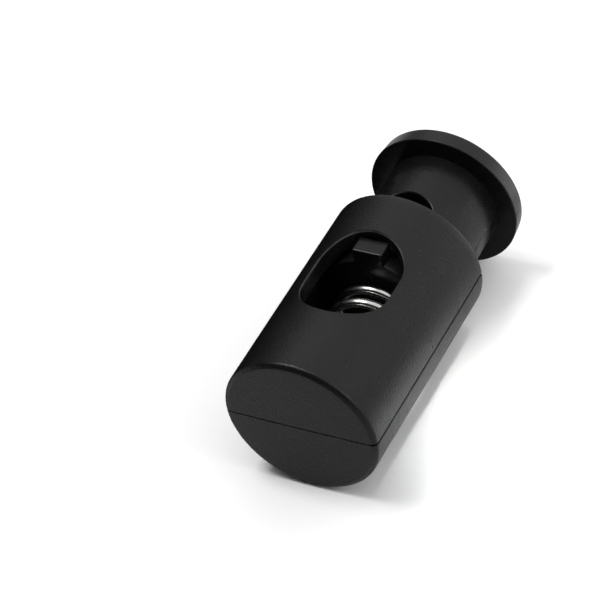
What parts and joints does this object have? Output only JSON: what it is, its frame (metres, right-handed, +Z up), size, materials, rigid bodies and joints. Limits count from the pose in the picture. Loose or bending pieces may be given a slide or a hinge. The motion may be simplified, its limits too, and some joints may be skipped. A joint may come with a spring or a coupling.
{
  "type": "cord lock",
  "caption": "Push-button cord lock: a round barrel with an oblong cord slot through it, and a spring-loaded plunger whose cross hole meets the slot when pressed.",
  "frame": {"origin": "the middle of the passage that the cord goes through, on the lock's own axis", "axes": "+Y along the lock's axis from the closed end to the button, +Z up out of one cord slot, +X across"},
  "size_m": [0.015, 0.0328, 0.015],
  "materials": {
    "barrel_plastic": "fine moulded grain",
    "plunger_plastic": "fine moulded grain",
    "spring_steel": "bright drawn wire"
  },
  "bodies": {
    "barrel": {"barrel": "barrel_plastic", "return_spring": "spring_steel"},
    "plunger": {"plunger": "plunger_plastic"}
  },
  "joints": [
    {"name": "plunger_press", "type": "slide", "parent": "barrel", "child": "plunger", "axis": [0, -1, 0], "range_m": [0, 0.0062], "stiffness_N_per_m": 3300, "springref_m": -0.0002, "deforming": ["return_spring"]}
  ]
}
